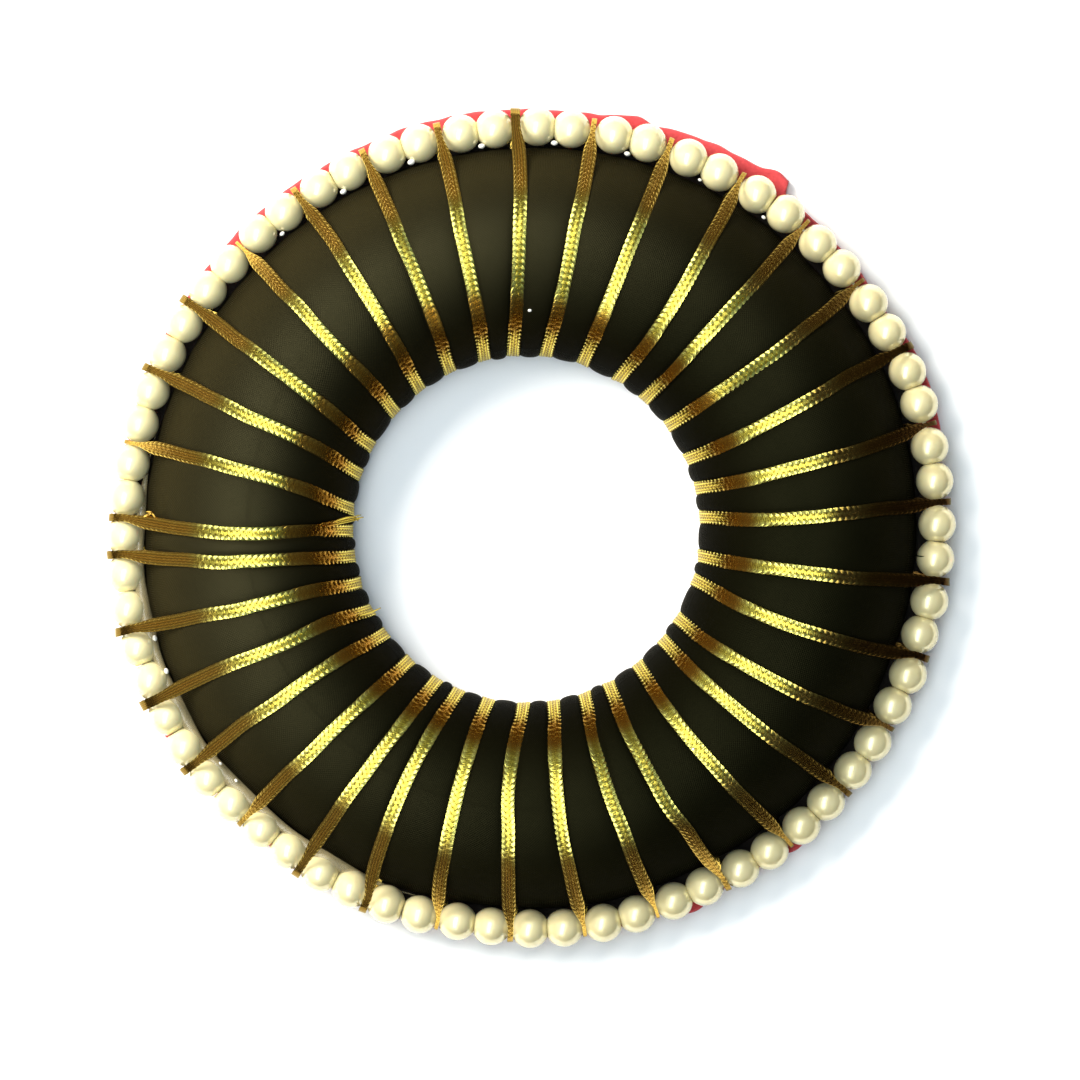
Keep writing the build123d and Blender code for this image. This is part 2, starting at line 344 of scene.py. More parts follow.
# %% Writing shader sums in Python
class Wire:
    """The output of a node, usable in a sum of numbers and other wires."""

    def __init__(self, sums, socket):
        self.sums, self.socket = sums, socket

    def sum(self, operation, first, second):
        return self.sums.node("ShaderNodeMath", {"operation": operation}, {0: first, 1: second})

    def __add__(self, other):
        return self.sum("ADD", self, other)

    def __sub__(self, other):
        return self.sum("SUBTRACT", self, other)

    def __rsub__(self, other):
        return self.sum("SUBTRACT", other, self)

    def __mul__(self, other):
        return self.sum("MULTIPLY", self, other)

    def __pow__(self, other):
        return self.sum("POWER", self, other)

    __radd__ = __add__
    __rmul__ = __mul__

    def sine(self):
        return self.sum("SINE", self, 0.0)

    def absolute(self):
        return self.sum("ABSOLUTE", self, 0.0)


class Sums:
    """A node tree that is written as sums."""

    def __init__(self, tree):
        self.tree = tree

    def node(self, kind, settings, sockets, output=0):
        """Adds a node: its settings first, then the values or the links of its sockets."""
        made = self.tree.nodes.new(kind)
        for name, value in settings.items():
            setattr(made, name, value)
        for name, value in sockets.items():
            self.feed(made.inputs[name], value)
        return Wire(self, made.outputs[output])

    def feed(self, socket, value):
        if isinstance(value, Wire):
            self.tree.links.new(value.socket, socket)
        else:
            socket.default_value = value

    def mix(self, share, first, second):
        """Colour between two colours."""
        return self.node("ShaderNodeMix", {"data_type": "RGBA"}, {0: share, 6: first, 7: second}, output=2)

    def parts(self, vector):
        """The three numbers of a vector."""
        split = self.node("ShaderNodeSeparateXYZ", {}, {0: vector}).socket.node
        return [Wire(self, output) for output in split.outputs]


class Finish(Sums):
    """A material with one Principled shader, whose even values are given by name."""

    def __init__(self, name, even):
        self.material = bpy.data.materials.new(name)
        self.material.use_nodes = True
        super().__init__(self.material.node_tree)
        self.shader = self.tree.nodes["Principled BSDF"]
        for socket, value in even.items():
            self.shader.inputs[socket].default_value = value

    def shade(self, socket, value):
        """Feeds something that changes over the surface into the shader."""
        self.feed(self.shader.inputs[socket], value)

    def bump(self, height, distance, strength=1.0):
        """Feeds a height in units of a distance in metres into the shader's Normal."""
        sockets = {"Height": height, "Distance": distance, "Strength": strength}
        self.shade("Normal", self.node("ShaderNodeBump", {}, sockets))

    def place_on_object(self):
        return self.node("ShaderNodeTexCoord", {}, {}, output="Object")

    def pattern_axes(self):
        """The two axes of the piece's own pattern, both in millimetres."""
        return self.parts(self.node("ShaderNodeUVMap", {"uv_map": "pattern"}, {}))[:2]

    def step(self, value, low, high):
        """0 at a first value, 1 at a second one, which may be the lower, and eased between them."""
        return self.node("ShaderNodeMapRange", {"interpolation_type": "SMOOTHSTEP"}, {
            "Value": value, "From Min": low, "From Max": high, "To Min": 0.0, "To Max": 1.0,
        })

    def noise(self, where, size, detail=2.0):
        """Soft noise from 0 to 1 with lumps of about a size in metres."""
        sockets = {"Vector": where, "Scale": 1.0 / size, "Detail": detail}
        return self.node("ShaderNodeTexNoise", {"noise_dimensions": "3D"}, sockets)


# %% [markdown]
# ** Black cover.** A thin satin-weave cloth is pulled tight over the padding. Satin threads lie side by
# side and mirror like dull metal, so most of the finish is metallic with a very dark base. That base is
# painted lighter and browner towards the upper left and on the outer flank, as painted window light and
# sheen. The weave is far finer than a pixel, so it is left to a bump of two crossed sine waves.

# %% Black cover
# The near-black is the cover's own colour; the brown is painted window light and sheen at the upper left.
deep_black, window_lit_brown = (0.0065, 0.0065, 0.0025, 1), (0.05, 0.042, 0.019, 1)
threads_per_mm = 3.2


def upper_left(finish, x, y, low, high):
    """0 at the lower right, 1 at the upper left, eased between two distances in metres on that diagonal."""
    return finish.step(y * 0.57 - x * 0.82, low, high)


def distance(x, y):
    """How far from the middle of the string a point lies, in metres."""
    return (x * x + y * y) ** 0.5


def black_cover():
    cover = Finish("black cover", {
        "Specular IOR Level": 0.05, "Metallic": 0.8, "Specular Tint": (0.2, 0.17, 0.1, 1.0),
    })
    where = cover.place_on_object()
    x, y, _ = cover.parts(where)
    along_ring, across_ring = cover.pattern_axes()
    clouds = cover.noise(where, 0.012)
    grain = cover.noise(where, 0.0006)
    # Painted window light and sheen: the base grows lighter and browner towards the upper left, more so on
    # the outer flank.
    painted_window_sheen = upper_left(cover, x, y, -0.002, 0.03) * 0.5 + upper_left(cover, x, y, -0.04, 0.02) * 0.22
    painted_window_sheen = painted_window_sheen * (0.3 + 0.7 * cover.step(distance(x, y), 0.0265, 0.036))
    cover.shade("Base Color", cover.mix(painted_window_sheen + clouds * 0.12, deep_black, window_lit_brown))
    cover.shade("Roughness", 0.4 + 0.12 * grain)
    turn_per_mm = 2 * np.pi * threads_per_mm
    warp, weft = (along_ring * turn_per_mm).sine(), (across_ring * turn_per_mm).sine()
    cover.bump(warp * weft + grain, 0.00003, 0.5)
    return cover.material


# %% [markdown]
# ** Gold braid.** The strands are thin metal foil wound round a core, so they are true metal: bright
# yellow on the crest, where they mirror the light. The middle of the braid is painted duller than its
# edges, as painted shade in the gaps where the strands cross. On both flanks the braid is pulled flat, and
# its colour there is a painted reflection: brown, lighter with painted edge highlights at the left, darkest
# at the right, where it would mirror the dark side of the room, and painted darker on the inner flank too.
# There, and at the hole, its threads lie lengthwise, so a sine wave across the braid paints dark furrows of
# shade. The tips between the pearls are painted dark as painted shade. Foil is never even, so the
# roughness and the tint wander, and fine turns of the foil run round each strand.

# %% Gold braid
# Bright gold is the foil's own colour; the duller gold is painted shade for the gaps in the middle of the
# braid.
bright_gold, gap_shade_gold = (0.96, 0.83, 0.2, 1), (0.57, 0.42, 0.045, 1)
# The bronzes are painted reflections on the flanks: light at the left, dark at the right, darker on the
# inner flank.
lit_flank_bronze, shaded_flank_bronze, inner_flank_shade_bronze = (1.0, 0.6, 0.11, 1), (0.024, 0.009, 0.0035, 1), (0.44, 0.2, 0.025, 1)
# Both browns are painted shade: in the furrows and at the tips between the pearls.
furrow_shade_brown, tip_shade_brown = (0.19, 0.093, 0.02, 1), (0.03, 0.014, 0.004, 1)
furrow_spacing, foil_spacing = 0.33, 0.16

# Where its look changes, in metres from the middle: where a change starts, and where it is complete
furrows_at_hole, inner_flank_in, inner_flank_out = (0.0242, 0.0228), (0.0222, 0.0236), (0.0274, 0.0254)
outer_flank, dark_tips = (0.0328, 0.0362), (0.0478, 0.0494)


def gold_foil():
    gold = Finish("gold foil", {"Metallic": 1.0, "Specular Tint": (1.0, 0.94, 0.7, 1.0)})
    where = gold.place_on_object()
    x, y, _ = gold.parts(where)
    along_strand, across_braid = gold.pattern_axes()
    lumps = gold.noise(where, 0.0009)
    edge = gold.step(across_braid.absolute(), 0.2, 0.62)
    # Painted shade: duller in the middle of the braid, where the strands cross, brighter at its edges.
    woven_with_painted_shade = gold.mix(edge * 0.7 + lumps * 0.3, gap_shade_gold, bright_gold)
    radius = distance(x, y)
    # Painted reflection on the flanks: lighter at the left, dark at the right, with painted highlights on
    # the strand edges at the left.
    light_side = gold.step(x, 0.048, 0.004)
    flank_reflection_paint = gold.mix(light_side, shaded_flank_bronze, lit_flank_bronze)
    flank_reflection_paint = gold.mix(edge * (0.01 + 0.32 * light_side), flank_reflection_paint, woven_with_painted_shade)
    outside = gold.step(radius - 0.0048 * light_side, *outer_flank)
    with_painted_flanks = gold.mix(outside, woven_with_painted_shade, flank_reflection_paint)
    # Painted shade: a darker bronze on the inner flank, placed a little further in towards the upper left.
    inner_edge = radius - 0.003 * gold.step(y * 0.34 - x * 0.94, 0.0, 0.03)
    inside = gold.step(inner_edge, *inner_flank_out) * gold.step(radius, *inner_flank_in)
    with_painted_flanks = gold.mix(inside * (0.98 - 0.08 * edge), with_painted_flanks, inner_flank_shade_bronze)
    # Painted shade in the furrows between the lengthwise threads, at the hole and on the outer flank.
    furrow_shade = gold.step((across_braid * (2 * np.pi / furrow_spacing)).sine(), 0.5, -0.3)
    furrow_shade = furrow_shade * (gold.step(radius, *furrows_at_hole) * 0.85 + outside * 0.42)
    with_furrow_shade = gold.mix(furrow_shade, with_painted_flanks, furrow_shade_brown)
    # Painted shade at the tips, where they dive between the pearls.
    gold.shade("Base Color", gold.mix(gold.step(radius, *dark_tips) * 0.75, with_furrow_shade, tip_shade_brown))
    gold.shade("Roughness", 0.13 + 0.12 * lumps)
    foil_turns = 2 * np.pi / foil_spacing
    ridges = (along_strand * foil_turns + across_braid * (foil_turns * 0.5)).sine()
    gold.bump(ridges, 0.00002, 0.22 - 0.17 * outside)
    return gold.material


# %% [markdown]
# ** Pearls.** Imitation pearls are plastic beads under a cream lacquer with fine mica. A smooth clear coat
# mirrors the light overhead, a faint peach sheen gathers towards the edge, and the lacquer below is a
# little milky. The pearls towards the upper left, nearest the window, are painted paler and made less
# metallic than those at the lower right, as painted window light.

# %% Pearls
# The khakis are the lacquer's own tones; the pale cream is painted window light.
khaki, light_khaki, window_lit_cream = (0.66, 0.57, 0.3, 1), (0.8, 0.71, 0.41, 1), (0.82, 0.73, 0.41, 1)


def pearl_lacquer():
    pearl = Finish("pearl lacquer", {
        "Roughness": 0.18, "Specular IOR Level": 0.2,
        "Coat Weight": 0.9, "Coat Roughness": 0.07, "Coat IOR": 1.5,
        "Sheen Weight": 0.05, "Sheen Roughness": 0.3, "Sheen Tint": (1.0, 0.72, 0.5, 1.0),
        "Subsurface Weight": 0.3, "Subsurface Radius": (1.0, 0.8, 0.5), "Subsurface Scale": 0.0015,
    })
    where = pearl.place_on_object()
    x, y, _ = pearl.parts(where)
    clouds = pearl.noise(where, 0.0025, 1.0)
    # Painted window light: paler and less metallic towards the upper left.
    painted_window_light = upper_left(pearl, x, y, -0.03, 0.03)
    pearl.shade("Base Color", pearl.mix(painted_window_light, pearl.mix(clouds, khaki, light_khaki), window_lit_cream))
    pearl.shade("Metallic", 0.3 - 0.1 * painted_window_light)
    return pearl.material


# %% [markdown]
# ** Red backing.** A cut piece of coral red cloth with a short nap: matt, with a soft sheen, painted darker in
# the hollows of its nap as painted shade, and uneven in tone. Inside the string of pearls it is painted
# black, as painted shade for the inner notches between the pearls.

# %% Red backing
# The reds are the cloth's own, the deeper red also painted shade in the nap's hollows; the black is painted
# shade for the inner notches.
deep_red, coral, notch_shade_black = (0.36, 0.025, 0.03, 1), (0.66, 0.09, 0.095, 1), (0.012, 0.010, 0.008, 1)
notch_shade_ends = (-0.9, -0.3)


def red_cloth():
    cloth = Finish("red cloth", {
        "Specular IOR Level": 0.15, "Sheen Weight": 0.25, "Sheen Roughness": 0.5,
        "Sheen Tint": (1.0, 0.6, 0.6, 1.0),
    })
    where = cloth.place_on_object()
    nap = cloth.noise(where, 0.0004, 3.0)
    clouds = cloth.noise(where, 0.006)
    # Painted shade: darker where the nap's bump is low, mixed with random tone.
    red = cloth.mix(nap * 0.6 + clouds * 0.4, deep_red, coral)
    _, past_string = cloth.pattern_axes()
    # Painted shade: black inside the string of pearls, towards the cover.
    past_notch_shade = cloth.step(past_string + 0.4 * clouds, *notch_shade_ends)
    cloth.shade("Base Color", cloth.mix(past_notch_shade, notch_shade_black, red))
    cloth.shade("Roughness", 0.75 + 0.2 * nap)
    cloth.bump(nap, 0.00012, 0.7)
    return cloth.material


# %% [markdown]
# ** Thread and glue.** The pearls hang on a plain cream thread. A film of clear glue holds them to the
# cover at the left, glassy and seen through. Its drops are painted milky white, as painted glints of the
# light on the glue. All three are hazy in the same way, so one function makes them.

# %% Thread and glue
def hazy(name, lump_size, even, hazed):
    """A finish where one soft noise moves each hazed value from a first number or colour to a second."""
    finish = Finish(name, even)
    haze = finish.noise(finish.place_on_object(), lump_size)
    for socket, (first, second) in hazed.items():
        is_color = isinstance(first, tuple)
        between = finish.mix(haze, first, second) if is_color else first + (second - first) * haze
        finish.shade(socket, between)
    return finish.material


cover_finish = black_cover()
gold_finish = gold_foil()
pearl_finish = pearl_lacquer()
cloth_finish = red_cloth()
thread_finish = hazy(
    "cream thread", 0.0002, {"Specular IOR Level": 0.3},
    {"Base Color": ((0.55, 0.49, 0.33, 1), (0.78, 0.72, 0.55, 1)), "Roughness": (0.6, 0.8)},
)
glue_finish = hazy(
    "clear glue", 0.0016,
    {"Base Color": (0.34, 0.28, 0.15, 1.0), "Coat Weight": 0.6, "Coat Roughness": 0.06},
    {"Alpha": (0.35, 0.75), "Roughness": (0.08, 0.18)},
)
# Glue drops, painted milky white as painted glints of light on the glue.
glint_painted_glue_finish = hazy(
    "milky glue painted as glints", 0.0004, {"Roughness": 0.15, "Coat Weight": 1.0, "Coat Roughness": 0.03},
    {"Base Color": ((0.8, 0.77, 0.68, 1), (0.95, 0.93, 0.87, 1))},
)
print("finishes:", ", ".join(material.name for material in bpy.data.materials))

# %% [markdown]
# ## The padded ring
#
# A torus would be too perfect. The cover is pulled down under each turn of braid and swells between the
# turns, like a mattress between its buttons. So the surface is a function of two parameters, the angle
# round the ring and the place along its section, and a swelling that depends on how near the next turn is
# pushes each point out along the section's own normal.

# %% Section of the padding
def section_of_ring(steps):
    """Radius, height and outward normal at even steps along the closed section.

    The section is a level floor, two small heels, two shoulders that are quarter circles and a short crest.
    """
    heel_height = ring_floor + heel_radius
    corners = [
        arc((hole_radius + heel_radius, heel_height), heel_radius, 270, 180, 200),
        arc((inner_centre, shoulder_height), shoulder, 180, 90, 200),
        arc((outer_centre, shoulder_height), shoulder, 90, 0, 200),
        arc((ring_radius - heel_radius, heel_height), heel_radius, 0, -90, 200),
    ]
    line = np.concatenate(corners + [corners[0][:1]])
    length = np.concatenate([[0], np.cumsum(np.hypot(*np.diff(line[:, :2], axis=0).T))])
    even = np.linspace(0, length[-1], steps, endpoint=False)
    return np.stack([np.interp(even, length, line[:, k]) for k in range(4)]), length[-1]


# %% The padding swells between the turns
woven_width = 1.68
covered_share, arch_powers = 0.46, (2.4, 0.62)
swell_of_cell = np.random.default_rng(7).uniform(0.75, 1.25, turn_count)
# How far the cover stands out halfway between two turns, and lies in under one: radii, millimetres
swells = ([hole_radius, 26, crest_radius, 42, ring_radius], [0.2, 0.16, 0.1, 0.08, 0.05])
valleys = ([hole_radius, crest_radius, 41, ring_radius], [-0.18, -0.25, -0.26, -0.05])


def swelling(radius, angle):
    """Millimetres that the cover stands out: low under the braid, a flattened arch from turn to turn."""
    turn_angles = lean(turns[:, None] - 1, radius.ravel()[None, :]).reshape(turn_count, *radius.shape)
    ahead = np.mod(angle[None] - turn_angles, 360.0)
    cell = ahead.argmin(0)
    per_degree = np.radians(1.0) * radius
    from_last = ahead.min(0) * per_degree
    to_next = np.mod(turn_angles - angle[None], 360.0).min(0) * per_degree
    covered = woven_width * covered_share
    free = np.maximum((from_last + to_next) / 2 - covered, 0.2)
    share = np.clip((np.minimum(from_last, to_next) - covered) / free, 0.0, 1.0)
    bulge = (1 - (1 - share) ** arch_powers[0]) ** arch_powers[1]
    proud, valley = np.interp(radius, *swells), np.interp(radius, *valleys)
    return valley + (proud * swell_of_cell[cell] - valley) * bulge


def ring_surface(angle, section):
    """The cover at each angle and section step: the section, shifted and swollen, carried round the axis.

    Its underside, where the normal points down, stays flat.
    """
    radius, height, normal_radius, normal_height = (part[:, None] for part in section)
    real = shifted(radius, angle[None, :])
    push = swelling(np.broadcast_to(radius, real.shape), np.broadcast_to(angle, real.shape))
    push = np.where(normal_height < -0.3, 0.0, push)
    return place(real + push * normal_radius, angle[None, :], height + push * normal_height)


section_steps, round_steps = 84, turn_count * 26
section, section_length = section_of_ring(section_steps)
padded_ring = make_piece(
    "padded_ring_cover", ring_surface(all_round(round_steps), section), cover_finish,
    lambda _, ring, side: (side * (2 * np.pi * crest_radius / round_steps),
                           ring * (section_length / section_steps)),
    ["padded_ring"],
)

# %% [markdown]
# ## The red backing
#
# The cloth was cut by hand, so its edge follows the rim unevenly and stands out furthest where the
# scissors met. It is a flat band with soft edges: a closed profile carried round, whose outer radius
# follows the cut.

# %% Cloth backing
# Waves of the cut edge: millimetres, waves in a round, degrees at the start
edge_waves = [(0.06, 41, 0), (0.04, 97, 20)]
curls_from, curl, curls_in_round = 0.93, 0.12, 13


def backing_surface(angle, profile):
    """The cloth at each angle: profile rows hold a share from the hole to the cut edge, and a height.

    Small waves make the cut edge uneven, and it curls up a little in places.
    """
    share, height = (part[:, None] for part in profile)
    inner = hole_radius + backing_setback + hole_shift * cosd(angle - hole_shift_side)
    cut = rim_radius + backing_lip * eased_table(angle, backing_edge)
    for size, waves, start in edge_waves:
        cut = cut + size * sind(angle * waves + start)
    lift = curl * rise(share, curls_from, 1.0) * (1 + sind(angle * curls_in_round))
    radius = inner + (cut - inner) * share
    return place(radius, angle[None, :], height * (1 + lift))


def backing_profile():
    """Closed profile of the cloth: top from the hole to the edge, a half-round edge, and the underside."""
    top = np.linspace(0.015, 0.97, 22)
    below = top[::-4]
    edge, hole_edge = np.linspace(90, -90, 9), np.linspace(270, 90, 7)[1:-1]
    share = [top, 0.985 + 0.015 * cosd(edge), below, 0.012 + 0.012 * cosd(hole_edge)]
    height = [np.ones_like(top) * 2, 1 + sind(edge), np.zeros_like(below), 1 + sind(hole_edge)]
    return np.stack([np.concatenate(share), backing_thickness / 2 * np.concatenate(height)])


profile = backing_profile()
backing_angles = all_round(900)
points = backing_surface(backing_angles, profile)
past_string = np.linalg.norm(points[..., :2], axis=-1) - shifted(string_radius, backing_angles)[None]
rows, columns = past_string.shape
backing = make_piece("cloth_backing_red", points, cloth_finish,
                     lambda _, ring, side: (0.0, past_string[ring % rows, side % columns]),
                     ["cloth_backing"])
backing_area = np.pi * (rim_radius**2 - (hole_radius + backing_setback) ** 2) * MM**2

# %% [markdown]
# ## The string of pearls
#
# Each pearl is a ball with a bore right through. Two of them touch between each pair of turns, and there
# their ends are worn flat, so that they meet in a short neck. Towards the braid a pearl is round up to
# its bore. The turned profile starts and ends in the bore, so the bead is closed like a ring and needs no
# pole. Cheap pearls vary, so each one gets its own size and a slight turn out of line.

# %% Pearls
pearl_random = np.random.default_rng(11)
pearl_count = len(pearl_angle)
pearl_size = pearl_random.uniform(0.98, 1.015, pearl_count)
pearl_turn = pearl_random.normal(0.0, 2.5, (pearl_count, 2))
pearl_nudge = pearl_random.normal(0.0, 0.05, (pearl_count, 2))


def bead_profile(steps):
    """Distance along the thread and from it for every bead: a worn or a whole end each side, then the bore.

    A whole end stops where the ball is a little wider than the bore.
    """
    bore, ball = pearl_bore / 2, pearl_diameter / 2
    whole = np.sqrt(ball**2 - (1.15 * bore) ** 2)
    ahead = np.where(touches > 0, bead_length / 2, whole)[:, None]
    behind = np.where(touches < 0, bead_length / 2, whole)[:, None]
    start, stop = np.degrees(np.arccos(ahead / ball)), 180 - np.degrees(np.arccos(behind / ball))
    swing = start + (stop - start) * np.linspace(0, 1, steps)
    in_bore = np.full_like(ahead, bore)
    return (np.concatenate([ahead, ball * cosd(swing), -behind, -0.7 * behind, 0.7 * ahead], 1),
            np.concatenate([in_bore, ball * sind(swing), in_bore, in_bore, in_bore], 1))


def bead_surface(steps, sides):
    """Every bead at once: the profile turned about the thread, then tilted, sized and set on the string."""
    lengthwise, outwards = (part[..., None] for part in bead_profile(steps))
    spin = all_round(sides)
    bead = np.stack(np.broadcast_arrays(outwards * cosd(spin), lengthwise, outwards * sind(spin)), -1)
    yaw = np.radians(pearl_angle + pearl_turn[:, 0])
    pitch = np.radians(pearl_turn[:, 1])
    cy, sy, cp, sp = np.cos(yaw), np.sin(yaw), np.cos(pitch), np.sin(pitch)
    turned = np.stack([cy, -sy * cp, sy * sp, sy, cy * cp, -cy * sp, 0 * cy, sp, cp], -1).reshape(-1, 3, 3)
    beads = bead * np.stack([pearl_size, np.ones(pearl_count), pearl_size], -1)[:, None, None, :]
    beads = np.einsum("nij,nabj->nabi", turned, beads)
    middle = place(shifted(string_radius, pearl_angle) + pearl_nudge[:, 0], pearl_angle,
                   string_height + np.abs(pearl_nudge[:, 1]))
    return beads + middle[:, None, None, :]


make_piece("pearl_string", bead_surface(steps=15, sides=26), pearl_finish, None, ["pearls"])

# %% [markdown]
# The thread is two plies twisted together, each a thin tube on its own helix about the string's circle.

# %% Thread
def thread_surface(steps, sides, twists):
    """Two plies: each a small circle carried along a helix that winds round the string's circle."""
    angle, around = all_round(steps), all_round(sides)
    ply = np.array([0.0, 180.0])[:, None]
    helix = ply + angle * twists
    ply_radius = thread_diameter / 4
    radius = ply_radius * cosd(helix)[..., None] + ply_radius * cosd(around)
    height = ply_radius * sind(helix)[..., None] + ply_radius * sind(around)
    on_string = shifted(string_radius, angle)[None, :, None]
    return place(on_string + radius, angle[None, :, None], string_height + height)


make_piece("pearl_thread_plies", thread_surface(steps=1440, sides=6, twists=120), thread_finish,
           None, ["pearl_thread"])

# %% [markdown]
# ## The gold braid
#
# The braid is a flat plait of five strands. Each strand swings from edge to edge and passes over and
# under the others in turn, so from above it shows four columns of short slanting bars. It could be a
# strip with a bump, but light catches every bar of the real one, so the strands are modelled.
#
# First comes the path of a turn: along under the ring, up the wall of the hole, over the crest, down to
# the pearls in a slight bow, round their string and back underneath.

# %% Path of a turn
skin = seat_gap + braid_thickness / 2
under_ring = 4.5
under_rim = 3.4
flank_tilt = 36.0


def section_of_turn(string_turn):
    """Radius, height and outward normal along a turn, as lines and arcs joined end to end.

    From the shoulder to the pearls it bows: an arc that starts at the flank's tilt and meets the
    string's circle. Where it meets it depends on the chord between them, so a few rounds settle it.
    """
    low = ring_floor - skin
    wall = hole_radius - skin + braid_bite
    heel_turn = heel_radius + skin
    heel = (wall + heel_turn, low + heel_turn)
    over = shoulder + skin - braid_bite
    leaves_at = 90 - flank_tilt
    leaves = (outer_centre + over * cosd(leaves_at), shoulder_height + over * sind(leaves_at))
    reaches_at = leaves_at
    for _ in range(20):
        reaches = (string_radius + string_turn * cosd(reaches_at),
                   string_height + string_turn * sind(reaches_at))
        chord = np.degrees(np.arctan2(leaves[1] - reaches[1], reaches[0] - leaves[0]))
        reaches_at = 90 - (2 * chord - flank_tilt)
    bow = np.hypot(reaches[0] - leaves[0], reaches[1] - leaves[1]) / 2 / sind((leaves_at - reaches_at) / 2)
    bow_centre = (leaves[0] - bow * cosd(leaves_at), leaves[1] - bow * sind(leaves_at))

    return np.concatenate([
        [[heel[0] + under_ring, low, 0.0, -1.0]],
        arc(heel, heel_turn, 270, 180),
        arc((inner_centre, shoulder_height), over, 180, 90),
        arc((outer_centre, shoulder_height), over, 90, leaves_at),
        arc(bow_centre, bow, leaves_at, reaches_at)[1:-1],
        arc((string_radius, string_height), string_turn, reaches_at, -90),
        [[string_radius - under_rim, low, 0.0, -1.0]],
    ])


# %% [markdown]
# Between the pearls each turn is pulled in differently: some are spread across the pearls' shoulders,
# others are pinched to a point and drawn down between them. How wide each one is at the string is read
# off the photo.

# %% Width of each turn over the string
pinch_of_turn = np.array([
    40, 25, 50, 20, 20, 25, 30, 30, 65, 45, 40, 40, 15, 55, 50, 20, 50,
    55, 60, 70, 55, 30, 55, 50, 20, 35, 20, 15, 35, 20, 35, 25, 45, 50,
])
string_squeeze = pinch_of_turn / 100
# Shares of its width at which a turn lies right down between the pearls, and on them; millimetres between
pinched, unpinched, drawn_down = 0.15, 0.65, 1.1
spread = np.clip((string_squeeze - pinched) / (unpinched - pinched), 0, 1)
string_turn = pearl_diameter / 2 - drawn_down * (1 - spread)
print("spread over the pearls:", np.round(spread, 2).tolist())

# %% [markdown]
# The path is measured, cut into even steps, and gives each step a direction, a normal and a sideways
# axis. A little wander sideways and a little roll keep the turns from looking machine-wound.

# %% Even steps along every turn
plait_pitch = 0.74
steps_per_pitch = 4
strand_count = 5
# Underneath, how far from the hole's wall and from the string the braid starts to lean over, in millimetres
under_starts = (0.8, 2.8)
most_wander, most_roll = 0.09, 11
turn_random = np.random.default_rng(3)


def even_path(turn, steps):
    """Points, normals, and the section's radius at even steps along one turn, and the turn's length.

    Over the top the angle is the turn's lean. Underneath it runs straight on towards the next turn, and at
    the rim it comes from the one before. Three slow waves of a random size make the turn wander.
    """
    line = section_of_turn(string_turn[turn])
    dense = np.linspace(0, len(line) - 1, 1600)
    radius, height, normal_radius, normal_height = (
        np.interp(dense, np.arange(len(line)), line[:, k]) for k in range(4)
    )
    underneath = normal_height < -0.2
    first_half = np.arange(len(dense)) < len(dense) // 2
    past_hole = np.clip(radius - hole_radius - under_starts[0], 0, None) / (ring_radius - hole_radius)
    past_rim = np.clip(string_radius - under_starts[1] - radius, 0, None) / (ring_radius - hole_radius)
    ahead = (rim_angle[turn] + pair_gap - hole_angle[turn]) * past_hole
    back = (hole_angle[turn] - pair_gap - rim_angle[turn]) * past_rim
    angle = lean(turn, radius) + np.where(first_half & underneath, ahead, 0.0)
    angle = np.where(~first_half & underneath, rim_angle[turn] + back, angle)
    wander = turn_random.uniform(-most_wander, most_wander, 3)
    phase = turn_random.uniform(0, 360, 3)
    sideways = sum(wander[k] * sind(phase[k] + dense * (k + 1.3)) for k in range(3))
    sideways = sideways * rise(radius, hole_radius, hole_radius + 3) * rise(radius, 44, 40)
    angle = angle + np.degrees(sideways / radius)
    points = place(shifted(radius, angle), angle, height)
    normals = place(normal_radius, angle, normal_height)
    length = np.concatenate([[0], np.cumsum(np.linalg.norm(np.diff(points, axis=0), axis=-1))])
    even = np.linspace(0, length[-1], steps)
    columns = np.concatenate([points, normals, radius[:, None]], -1)
    cut = np.stack([np.interp(even, length, columns[:, k]) for k in range(7)], -1)
    return cut[:, :3], cut[:, 3:6], cut[:, 6], length[-1]


# The first turn is measured alone, then all are made, both times from the same random start
longest = even_path(0, 10)[3]
path_steps = int(round(longest / plait_pitch)) * steps_per_pitch + 1
turn_random = np.random.default_rng(3)
paths = [even_path(turn, path_steps) for turn in range(turn_count)]
middle = np.stack([path[0] for path in paths])
outward = unit(np.stack([path[1] for path in paths]))
section_radius = np.stack([path[2] for path in paths])
forward = unit(np.gradient(middle, axis=1))
sideways = unit(np.cross(outward, forward))
roll_swing = turn_random.uniform(-most_roll, most_roll, (turn_count, 2))
roll_phase = turn_random.uniform(0, 360, (turn_count, 2))
travel = np.linspace(0, 1, path_steps)
roll = (roll_swing[:, :1] * sind(roll_phase[:, :1] + 300 * travel)
        + roll_swing[:, 1:] * sind(roll_phase[:, 1:] + 700 * travel))[..., None]
outward, sideways = (outward * cosd(roll) + sideways * sind(roll),
                     sideways * cosd(roll) - outward * sind(roll))
print(f"a turn is {longest:.1f} mm long, in {path_steps} steps")

# %% [markdown]
# Now the plait. A strand's swing is a cosine. Its height is a wave too, up where it passes over another
# strand and down where it passes under: there are four crossings on the way out and four on the way back,
# with a quiet stretch at each edge where it turns. The five strands are the same path, a fifth of the
# period apart. Tightness is 1 where the plait stands up and near 0 on the flanks, where it is pulled
# smooth: there the strands are wider, thinner and hardly swing up and down.

# %% Five strands plaited
strand_half_width, strand_half_height = 0.23, 0.06
narrowest, thinnest = 0.2, 0.22
# How high a crossing stands, how many times that at the plait's edges, and how far the middle stands proud
crossing_height, edge_crossing, crown = 0.02, 7, 0.03
oval = np.array([(1.0, 0.0), (0.78, 0.9), (-0.78, 0.9), (-1.0, 0.0), (-0.78, -0.9), (0.78, -0.9)])


def beat_at(step, strand):
    """Where in its swing a strand is at a step of the path: ten beats take it across the braid and back."""
    return 10 * (step / (steps_per_pitch * strand_count) + strand / strand_count)


